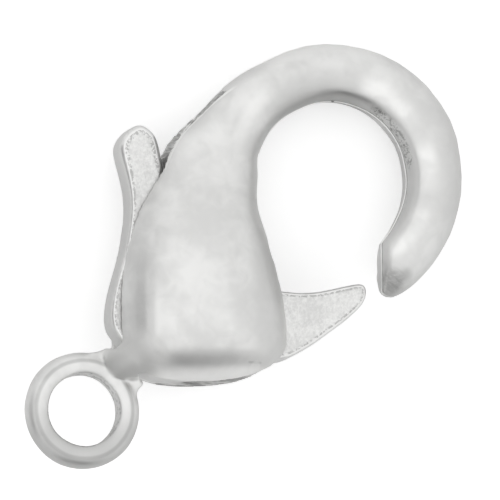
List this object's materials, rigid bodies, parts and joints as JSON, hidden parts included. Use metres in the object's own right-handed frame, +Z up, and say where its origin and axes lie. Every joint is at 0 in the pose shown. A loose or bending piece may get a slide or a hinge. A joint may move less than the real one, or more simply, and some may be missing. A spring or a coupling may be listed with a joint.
{
  "type": "lobster clasp",
  "caption": "Jewellery clasp: a slotted cast body with a ring eye at one end and an open hook at the other, closed by a sprung lever whose gate meets the hook's end.",
  "frame": {"origin": "middle of the ring eye's hole, half way through the ring", "axes": "+X along the pull line from the ring eye to the hook, level; +Y towards the spine and the thumb tab; +Z up, square to the surface that the clasp lies on"},
  "size_m": [0.012, 0.0068, 0.0031],
  "materials": {
    "polished_casting": "cast zinc alloy, bright silver-coloured plating, soft polish",
    "frosted_lever": "frosted and lightly scratched flat faces, polished edges",
    "pin_steel": "plain ground pin",
    "spring_steel": "drawn wire"
  },
  "bodies": {
    "casting": {"body": "polished_casting", "pivot_pin": "pin_steel", "spring": "spring_steel"},
    "trigger": {"lever": "frosted_lever"}
  },
  "joints": [
    {"name": "gate_hinge", "type": "hinge", "parent": "casting", "child": "trigger", "pos_m": [0.00253, -0.00004, -0.00031], "axis": [0.1234, 0.0558, 0.9908], "range_deg": [0, 20], "stiffness_Nm_per_rad": 0.00005, "springref_deg": -28.65, "deforming": ["spring"]}
  ]
}
